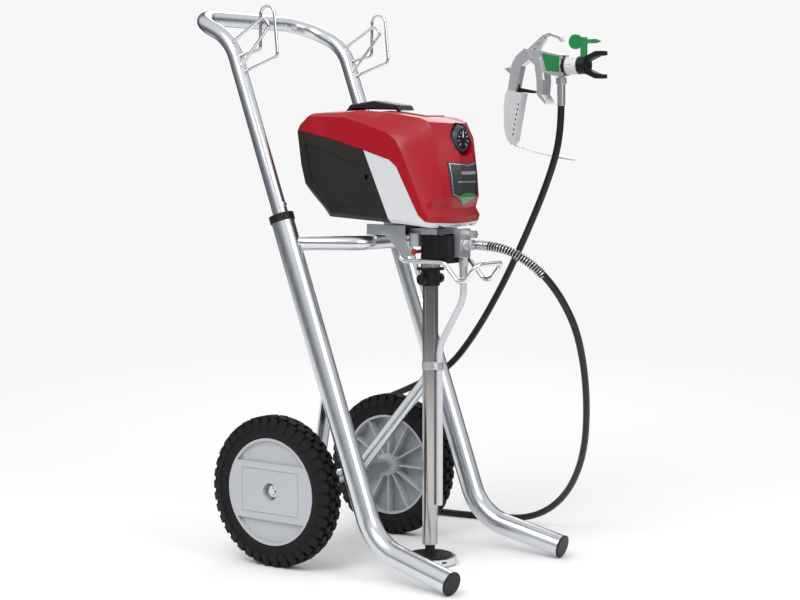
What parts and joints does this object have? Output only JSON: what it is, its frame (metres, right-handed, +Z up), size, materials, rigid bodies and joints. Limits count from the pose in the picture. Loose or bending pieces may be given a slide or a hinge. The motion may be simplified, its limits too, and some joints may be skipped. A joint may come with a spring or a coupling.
{
  "type": "airless paint sprayer",
  "caption": "Airless paint sprayer: boxy motor and piston pump on a wheeled tube cart with a telescoping handle, suction tube, pail hook, hose and trigger spray gun.",
  "frame": {"origin": "on the floor, in the cart's middle plane, halfway between the foot tips and the handle's crossbar", "axes": "+Z up; -Y toward the feet, the pressure knob and the way the gun points; +X toward the cart's left wheel, seen by a person at the handle"},
  "size_m": [0.5563, 0.6247, 0.9328],
  "materials": {
    "galvanised_tube": "bright zinc-plated tube, satin",
    "zinc_plate": "zinc-plated sheet",
    "chrome_wire": "bright plated wire",
    "black_plastic": "moulded, fine satin grain",
    "tyre_rubber": "moulded tread",
    "rim_grey": "moulded light grey",
    "red_gloss": "moulded gloss red",
    "light_grey": "moulded light grey",
    "badge_dark": "dark label plate with a green field",
    "knob_blue_grey": "ribbed dark knob",
    "board_green": "circuit board",
    "motor_steel": "machined",
    "fan_plastic": "moulded",
    "cast_aluminium": "die cast, polished on the gun",
    "pump_steel": "polished steel",
    "seal_rubber": "packing",
    "hose_black": "smooth hose jacket",
    "tip_green": "moulded green"
  },
  "bodies": {
    "cart": {"right_side_tube": "galvanised_tube", "left_side_tube": "galvanised_tube", "axle_tube": "galvanised_tube", "right_strut": "galvanised_tube", "left_strut": "galvanised_tube", "cross_yoke": "galvanised_tube", "pump_bracket": "zinc_plate", "axle_rod": "zinc_plate", "axle_nuts": "zinc_plate", "tube_clip": "zinc_plate", "pail_hook": "chrome_wire", "hose_keeper": "chrome_wire", "foot_caps": "black_plastic", "tube_collars": "black_plastic", "rear_shell": "black_plastic", "carry_handle": "black_plastic", "pump_cover": "black_plastic", "suction_nut": "black_plastic", "strainer": "black_plastic", "lead_gland": "black_plastic", "handle_plinth": "rim_grey", "guard_nut": "rim_grey", "top_shell": "red_gloss", "base_shell": "light_grey", "strainer_cage": "light_grey", "return_tube": "light_grey", "front_badge": "badge_dark", "control_board": "board_green", "motor_case": "motor_steel", "gearbox": "cast_aluminium", "outlet_block": "cast_aluminium", "gun_body": "cast_aluminium", "pump_body": "pump_steel", "inlet_valve": "pump_steel", "hose_nut": "pump_steel", "hose_ferrule": "pump_steel", "suction_tube": "pump_steel", "hose_guard": "pump_steel", "piston_seal": "seal_rubber", "hose": "hose_black"},
    "handle": {"handle_tube": "galvanised_tube", "right_hose_hook": "chrome_wire", "left_hose_hook": "chrome_wire"},
    "right_button": {"right_snap_button": "chrome_wire"},
    "left_button": {"left_snap_button": "chrome_wire"},
    "right_wheel": {"right_tyre": "tyre_rubber", "right_rim": "rim_grey"},
    "left_wheel": {"left_tyre": "tyre_rubber", "left_rim": "rim_grey"},
    "knob": {"pressure_knob": "knob_blue_grey"},
    "armature": {"motor_armature": "motor_steel", "cooling_fan": "fan_plastic"},
    "gear": {"drive_gear": "motor_steel"},
    "piston": {"piston_yoke": "motor_steel"},
    "pusher": {"inlet_pusher": "red_gloss"},
    "trigger": {"gun_trigger": "pump_steel"},
    "lock": {"trigger_lock": "black_plastic"},
    "swivel": {"gun_swivel": "pump_steel"},
    "guard": {"tip_guard": "black_plastic"},
    "tip": {"spray_tip": "tip_green"}
  },
  "joints": [
    {"name": "handle_slide", "type": "slide", "parent": "cart", "child": "handle", "axis": [0, -0.3446, -0.9387], "range_m": [0, 0.23], "deforming": ["right_snap_button", "left_snap_button"]},
    {"name": "right_button_press", "type": "slide", "parent": "handle", "child": "right_button", "axis": [0, 0.9387, -0.3446], "range_m": [0, 0.0026], "stiffness_N_per_m": 150, "springref_m": -0.001},
    {"name": "left_button_press", "type": "slide", "parent": "handle", "child": "left_button", "axis": [0, 0.9387, -0.3446], "range_m": [0, 0.0026], "stiffness_N_per_m": 150, "springref_m": -0.001},
    {"name": "right_wheel_roll", "type": "hinge", "parent": "cart", "child": "right_wheel", "pos_m": [-0.16345, 0.075, 0.127], "axis": [1, 0, 0], "continuous": true},
    {"name": "left_wheel_roll", "type": "hinge", "parent": "cart", "child": "left_wheel", "pos_m": [0.16345, 0.075, 0.127], "axis": [1, 0, 0], "continuous": true},
    {"name": "pressure_knob_turn", "type": "hinge", "parent": "cart", "child": "knob", "pos_m": [0, -0.18, 0.712], "axis": [0, 1, 0], "range_deg": [0, 270]},
    {"name": "gear_spin", "type": "hinge", "parent": "cart", "child": "gear", "pos_m": [0, -0.0884, 0.634], "axis": [0, 1, 0], "continuous": true},
    {"name": "armature_spin", "type": "hinge", "parent": "cart", "child": "armature", "pos_m": [0, -0.02, 0.688], "axis": [0, 1, 0], "continuous": true},
    {"name": "piston_stroke", "type": "slide", "parent": "cart", "child": "piston", "axis": [0, 0, 1], "range_m": [0, 0.016]},
    {"name": "inlet_pusher_press", "type": "slide", "parent": "cart", "child": "pusher", "axis": [1, 0, 0], "range_m": [0, 0.003], "stiffness_N_per_m": 300, "springref_m": -0.001},
    {"name": "trigger_pull", "type": "hinge", "parent": "cart", "child": "trigger", "pos_m": [0.23, -0.193, 0.846], "axis": [1, 0, 0], "range_deg": [0, 12], "stiffness_Nm_per_rad": 0.5, "springref_deg": -11.46},
    {"name": "trigger_lock_turn", "type": "hinge", "parent": "cart", "child": "lock", "pos_m": [0.23, -0.146, 0.798], "axis": [1, 0, 0], "range_deg": [-50, 0]},
    {"name": "gun_swivel_turn", "type": "hinge", "parent": "cart", "child": "swivel", "pos_m": [0.23, -0.235, 0.8115], "axis": [0, 0, 1], "continuous": true},
    {"name": "tip_guard_turn", "type": "hinge", "parent": "cart", "child": "guard", "pos_m": [0.23, -0.279, 0.837], "axis": [0, -1, 0], "range_deg": [-90, 90]},
    {"name": "spray_tip_turn", "type": "hinge", "parent": "guard", "child": "tip", "pos_m": [0.23, -0.2792, 0.855], "axis": [0, 0, 1], "range_deg": [0, 180]}
  ],
  "couplings": [
    {"joint": "armature_spin", "follows": "gear_spin", "ratio": -5}
  ]
}
